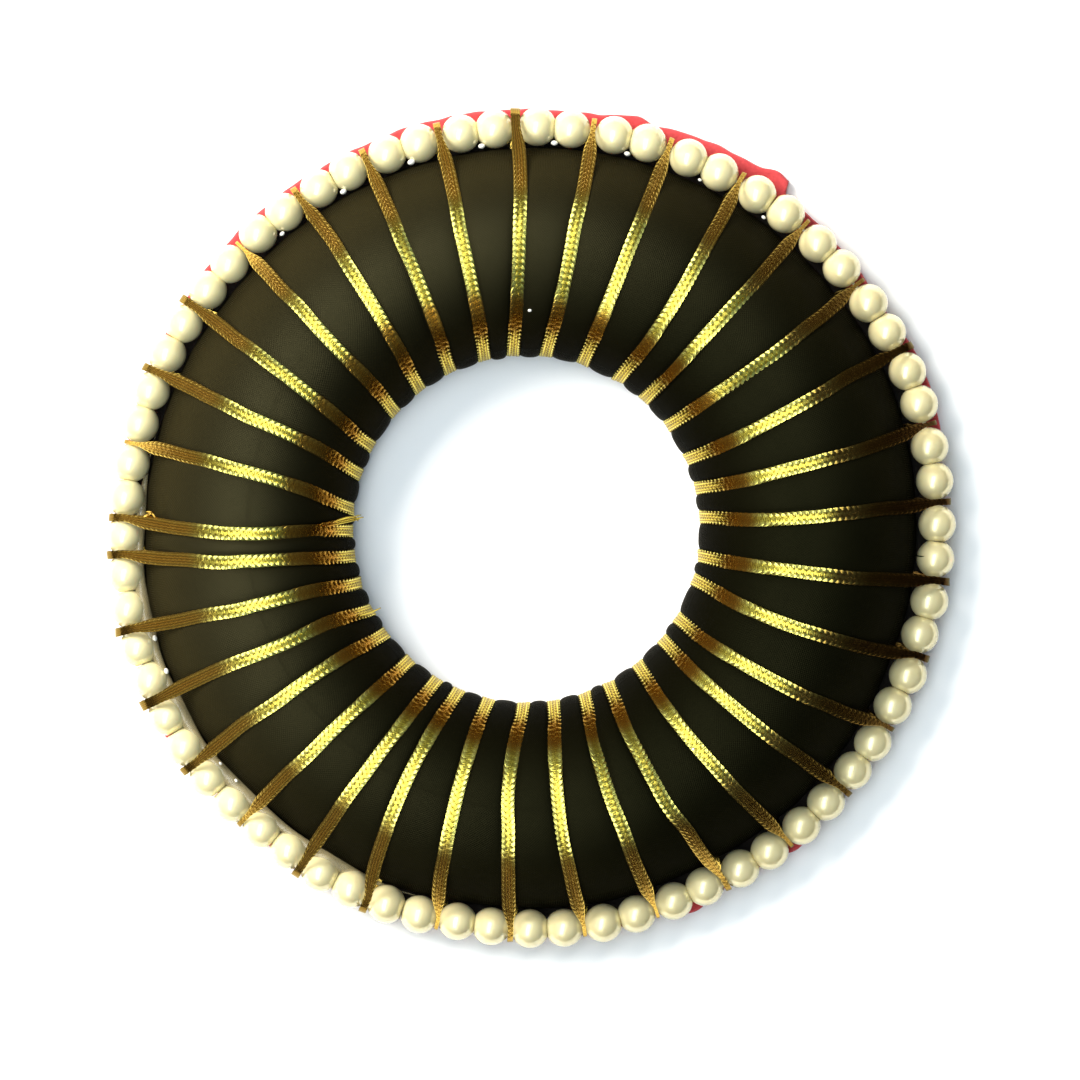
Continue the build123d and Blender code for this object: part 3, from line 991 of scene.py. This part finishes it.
def over_and_under(beat):
    """Height from -1 to 1 at a beat from 0 to 10: edges at 0 and 5, crossings at the other whole beats."""
    part = np.mod(beat, 5.0)
    out = np.where(part < 1, np.sin(np.pi * part / 2), np.sin(np.pi * (part - 5) / 2))
    return np.where((part >= 1) & (part <= 4), -np.cos(np.pi * part), out)


def plait(which, width_share):
    """Strands of some turns: an oval carried along each strand's own path through the plait.

    Each goes up and down most at the plait's edges, while the plait as a whole is highest in the middle.
    """
    beat = beat_at(np.arange(path_steps), np.arange(strand_count)[:, None])
    swing = np.cos(2 * np.pi * beat / 10)
    reach = (reach_of_swing[which] * width_share[which])[:, None, :]
    across = reach * swing[None]
    crossing = crossing_height * (1 + (edge_crossing - 1) * swing**4)
    lift = crossing * over_and_under(beat) - crown * swing**2
    lift = lift[None] * tightness[which][:, None, :]
    base, up, side = (part[which][:, None] for part in (middle, outward, sideways))
    centre = base + side * across[..., None] + up * lift[..., None]
    run = unit(np.gradient(centre, axis=2))
    tilt = (2 * crown * swing / (woven_width / 2 - strand_half_width))[None] * tightness[which][:, None, :]
    top = unit(up + side * tilt[..., None])
    wide = unit(np.cross(top, run))
    thin = np.cross(run, wide)
    half_width = (narrowest + (1 - narrowest) * width_share[which]) * pressed_half_width[which]
    half_height = strand_half_height * (thinnest + (1 - thinnest) * tightness[which])
    half_width, half_height = (half[:, None, :, None, None] for half in (half_width, half_height))
    ring = wide[..., None, :] * oval[:, :1] * half_width + thin[..., None, :] * oval[:, 1:] * half_height
    return centre[..., None, :] + ring


def crease_lengthwise(piece, sides):
    """Marks the strands' long edges sharp, so that foil stays flat across and bends only along itself."""
    edges = np.empty(2 * len(piece.data.edges), int)
    piece.data.edges.foreach_get("vertices", edges)
    side = edges.reshape(-1, 2) % sides
    piece.data.edges.foreach_set("use_edge_sharp", side[:, 0] == side[:, 1])


# Radii between which the braid narrows towards the pearls, and is pressed smooth on the outer flank and on
# the inner one, there not right at the hole
narrows, pressed_outside = (44.8, string_radius), (36.5, 40.0)
pressed_inside, not_at_hole = (29.5, 27.0), (23.0, 24.2)
width_share = 1 - (1 - string_squeeze[:, None]) * rise(section_radius, *narrows)
on_outer_flank = rise(section_radius, *pressed_outside)
on_inner_flank = rise(section_radius, *pressed_inside) * rise(section_radius, *not_at_hole)
tightness = 1 - 0.9 * on_outer_flank - 0.85 * on_inner_flank
pressed_half_width = strand_half_width * (1.9 - 0.9 * tightness)
reach_of_swing = woven_width / 2 - pressed_half_width


def strand_pattern(which):
    """Along the strand and across the braid, for the strands of some turns."""
    def at_corner(tube, ring, side):
        turn = which[tube // strand_count]
        swing = np.cos(2 * np.pi * beat_at(ring, tube % strand_count) / 10)
        beside = pressed_half_width[turn, ring] * oval[side % len(oval), 0]
        return ring * (longest / path_steps), reach_of_swing[turn, ring] * swing + beside

    return at_corner


for number, which in enumerate(np.array_split(np.arange(turn_count), 4), 1):
    quarter = make_piece(f"gold_braid_quarter_{number}", plait(which, width_share), gold_finish,
                         strand_pattern(which), ["gold_braid"], tube=True)
    crease_lengthwise(quarter, len(oval))

# %% [markdown]
# Between two turns the braid runs on under the ring, from the hole to the next turn's place on the rim.
# Only the cloth sees it there, so each of these runs is a plain flat strip that meets the plaited ends.

# %% Runs under the ring
overlap_steps = 3


def runs_under_ring():
    """One flat bar for each run: its four corners at both ends."""
    carry_on = turns[turns != lone_pearl_turn] - 1
    next_turn = (carry_on + 1) % turn_count
    level = ring_floor - skin
    start, finish = middle[carry_on, overlap_steps], middle[next_turn, -1 - overlap_steps]
    start, finish = start * [1, 1, 0] + [0, 0, level], finish * [1, 1, 0] + [0, 0, level]
    forward = unit(finish - start)
    side = np.cross(forward, [0, 0, 1.0]) * (braid_width / 2 - 0.1)
    up = np.array([0, 0, braid_thickness / 2])
    ends = np.stack([start, finish], 1)[:, :, None, :]
    corners = np.stack([side + up, -side + up, -side - up, side - up], 1)[:, None]
    return ends + corners


make_piece("gold_braid_runs", runs_under_ring(), gold_finish, no_pattern,
           ["gold_braid"], tube=True)

# %% [markdown]
# ## Glue
#
# At the left a wavy film of clear glue fills the notch between the pearls and the cover. It is a tube
# that thins out to a hair at both ends. Elsewhere the glue shows as drops where two pearls meet, and two
# specks of it dried on the cover, all painted milky white as painted glints.

# %% Glue
glue_from, glue_to = 166.0, 254.0
film_hair, film_radius, film_waviness = 0.02, 0.45, 0.25
# Drops in the notches: angle, share of a whole drop
glue_drops = np.array([
    (53.0, 0.6), (64.0, 0.5), (75.5, 0.8), (86.5, 0.9), (97.4, 0.9), (108.2, 1.0), (119.3, 0.9),
    (130.4, 0.7), (196.6, 0.8), (201.7, 0.8), (217.4, 0.5), (220.8, 0.5), (352.0, 0.3),
])
drop_half_sizes = (0.36, 0.48, 0.42)
# How far inside the string's circle and over it a drop sits, what the film adds to both, a speck's height
notch_in, notch_up, film_in, film_up, speck_up = 1.85, 0.9, 0.35, 0.75, 0.25
# Specks on the cover: angle, radius, share of a whole drop
glue_specks = np.array([(90.3, 25.65, 0.5), (-54.0, 32.4, 0.4)])


def film_depth(angle):
    """0 to 1: how much of the film there is at an angle."""
    return rise(angle, glue_from, glue_from + 18) * rise(angle, glue_to, glue_to - 16)


def glue_film(steps, sides):
    """A wavy tube along the notch: a hair at both ends, and between them a radius that wanders."""
    angle = np.linspace(glue_from, glue_to, steps)
    around = all_round(sides)
    amount = film_depth(angle)
    waves = 0.5 + 0.5 * sind(angle * 23 + 40 * sind(angle * 7))
    radius = film_hair + amount * (film_radius + film_waviness * waves)
    centre_radius = shifted(ring_radius + 0.35, angle) + 0.3 * amount
    centre_height = string_height - 1.0 + 1.8 * amount
    return place(centre_radius[:, None] + radius[:, None] * cosd(around) * 1.2, angle[:, None],
                 centre_height[:, None] + radius[:, None] * sind(around))


def in_notches(angle):
    """Places for drops between the string and the cover, higher where they sit on the film."""
    on_film = film_depth(angle)
    return place(shifted(string_radius, angle) - notch_in - film_in * on_film, angle,
                 string_height + notch_up + film_up * on_film)


def on_cover(angle, radius):
    """Places just over the cover's crest or shoulders, from the circle that the section follows there."""
    past_centre = radius - np.clip(radius, inner_centre, outer_centre)
    height = shoulder_height + np.sqrt(shoulder**2 - past_centre**2) + speck_up
    return place(shifted(radius, angle), angle, height)


def drops(places, angle, size, rings, sides):
    """Small flattened balls: a half circle of radii turned about the vertical, set at their places."""
    latitude, around = np.linspace(-89, 89, rings)[:, None], all_round(sides)[None]
    ball = place(cosd(latitude), around, sind(latitude)) * drop_half_sizes
    away = place(1.0, angle, 0.0)
    beside = place(1.0, angle + 90, 0.0)
    ball = ball[None] * size[:, None, None, None]
    return (places[:, None, None] + away[:, None, None] * ball[..., :1]
            + beside[:, None, None] * ball[..., 1:2] + ball[..., 2:] * [0, 0, 1])


make_piece("clear_glue", glue_film(steps=420, sides=10), glue_finish, tube=True)
drop_angle = np.concatenate([glue_drops[:, 0], glue_specks[:, 0]])
drop_size = np.concatenate([glue_drops[:, 1], glue_specks[:, 2]])
drop_places = np.concatenate([in_notches(glue_drops[:, 0]), on_cover(glue_specks[:, 0], glue_specks[:, 1])])
points = drops(drop_places, drop_angle, drop_size, rings=9, sides=12)
make_piece("glue_drops", points, glint_painted_glue_finish, tube=True)

# %% [markdown]
# ## Loose ends
#
# The braid was started and ended at the left, where two turns lie side by side with one pearl between
# them. Some of its strands have worked loose there, at the hole and near the pearls. One more strand
# hangs into the hole below. At the right a short dark fibre sticks to a pearl. Each is a thin tube along
# a curve through three points, and tapers towards its tip.

# %% Loose ends
loose_strands = np.array([
    # start, middle and end, each as radius, angle, height
    [(24.6, 179.4, 10.85), (22.3, 178.0, 8.2), (20.1, 176.3, 4.6)],
    [(24.8, 179.7, 10.95), (22.2, 178.5, 8.15), (19.8, 177.0, 5.2)],
    [(24.2, 180.1, 10.6), (22.0, 178.9, 7.9), (20.2, 177.6, 6.2)],
    [(23.6, 179.2, 10.0), (21.4, 177.2, 6.9), (20.4, 178.4, 5.4)],
    [(22.9, 207.4, 9.3), (21.6, 208.2, 7.2), (20.2, 208.6, 4.8)],
    [(44.2, 178.7, 9.05), (44.7, 178.0, 9.0), (45.3, 177.9, 8.2)],
    [(45.5, 178.6, 8.2), (44.9, 178.2, 8.9), (44.4, 177.9, 8.7)],
])
fibre = np.array([[(45.3, -4.35, 4.0), (45.95, -4.45, 4.72), (46.5, -4.4, 5.28)]])
loose_thickness, fibre_thickness, lost_at_tip = 0.3, 0.15, 0.6


def curved_tubes(knots, thickness, steps, sides):
    """Tubes along parabolas through three points each, at shares 0, 1/2 and 1 of the way."""
    share = np.linspace(0, 1, steps)[:, None]
    weights = np.concatenate([
        (2 * share - 1) * (share - 1), 4 * share * (1 - share), share * (2 * share - 1),
    ], 1)
    line = np.einsum("sk,nkc->nsc", weights, place(knots[..., 0], knots[..., 1], knots[..., 2]))
    run = unit(np.gradient(line, axis=1))
    side = unit(np.cross(run, [0.0, 0.1, 1.0]))
    up = np.cross(side, run)
    around = all_round(sides)[:, None]
    taper = (thickness / 2 * (1 - lost_at_tip * share**3))[..., None]
    return line[:, :, None] + taper * (side[:, :, None] * cosd(around) + up[:, :, None] * sind(around))


make_piece("loose_strands", curved_tubes(loose_strands, loose_thickness, steps=25, sides=6), gold_finish,
           lambda _, ring, side: (ring * 0.18, 0.1 * side), tube=True)
make_piece("dark_fibre", curved_tubes(fibre, fibre_thickness, steps=17, sides=6), cover_finish,
           no_pattern, tube=True)

# %% [markdown]
# ## Floor, light and camera
#
# The ring lies on plain white paper. A wide window to the upper left throws the soft shadow to the lower
# right. It isn't mirrored, because the real one is behind a curtain and draws no highlight. A broad dim
# skylight with a smaller, brighter light in it draws the upright highlight on every pearl and lights the
# crest of the braid all the way round.

# %% Floor
def paper_floor(size, below=0.00005):
    """A square sheet in metres, a hair below the ring, so that no two faces lie in one plane."""
    mesh = bpy.data.meshes.new("floor")
    half = size / 2
    corners = [(-half, -half), (half, -half), (half, half), (-half, half)]
    mesh.from_pydata([(x, y, -below) for x, y in corners], [], [(0, 1, 2, 3)])
    paper = Finish("white paper", {"Base Color": (0.9, 0.9, 0.91, 1.0), "Roughness": 0.9,
                                   "Specular IOR Level": 0.1})
    mesh.materials.append(paper.material)
    in_scene("floor", mesh)


paper_floor(8.0)


# %% Light
def panel(name, place_at, aim, width, height, power, color, twist=0.0, mirrored=True):
    """A soft rectangular light at a place, turned to face a point, with its height upright in the picture.

    A twist in degrees then turns it in its own plane. A light that isn't mirrored brightens matt
    surfaces and throws shadows, but leaves no highlight.
    """
    light = bpy.data.lights.new(name, "AREA")
    light.shape, light.size, light.size_y = "RECTANGLE", width, height
    light.energy, light.color = power, color
    lamp = in_scene(name, light)
    lamp.location = place_at
    lamp.rotation_euler = (Vector(aim) - Vector(place_at)).to_track_quat("-Z", "Y").to_euler()
    lamp.rotation_euler.rotate_axis("Z", float(np.radians(twist)))
    lamp.visible_glossy = mirrored


def toward(azimuth, elevation, distance):
    """A place in the room, by its angle round the ring, its angle over the floor, and its distance."""
    return tuple(float(x) for x in distance * place(cosd(elevation), azimuth, sind(elevation)))


panel("window", toward(144, 35.5, 3.0), (0, 0, 0), 1.8, 1.6, 222, (1.0, 0.94, 0.85), mirrored=False)
panel("skylight", (-1.0, -0.6, 2.4), (-1.0, -0.6, 0), 3.15, 6.0, 37, (0.84, 0.95, 1.0), twist=-13)
panel("roof light", (-0.6, -0.5, 2.35), (-0.6, -0.5, 0), 1.05, 3.4, 38, (0.95, 1.0, 0.99), twist=-13)


def room_light():
    """Dim light from all sides: bluish overhead, warm and nearly dark low down, less so at upper left."""
    world = bpy.data.worlds.new("room")
    world.use_nodes = True
    room = Sums(world.node_tree)
    x, y, z = room.parts(room.node("ShaderNodeTexCoord", {}, {}, output="Generated"))
    low_light = room.mix(0.5 + y * 0.3 - x * 0.4, (0.015, 0.009, 0.005, 1), (0.22, 0.18, 0.12, 1))
    light = room.mix(z * z * 1.1, low_light, (0.2, 0.3, 0.4, 1))
    room.feed(world.node_tree.nodes["Background"].inputs["Color"], light)
    bpy.context.scene.world = world


room_light()
bpy.context.scene.view_settings.view_transform = "Standard"

# %% Camera
frame_width = 127.5
camera_aim = (1.06, -1.65)
camera_height = 1.6


def camera_above():
    """A long lens straight above: the frame is as wide at the pearls as the photograph's 1080 pixels."""
    lens = bpy.data.cameras.new("camera")
    lens.sensor_width = 36.0
    lens.lens = lens.sensor_width * (camera_height - string_height * MM) / (frame_width * MM)
    lens.clip_end = 20.0
    camera = in_scene("camera", lens)
    camera.location = (camera_aim[0] * MM, camera_aim[1] * MM, camera_height)
    bpy.context.scene.camera = camera
    print(f"camera {camera_height} m up with a {lens.lens:.0f} mm lens")


camera_above()
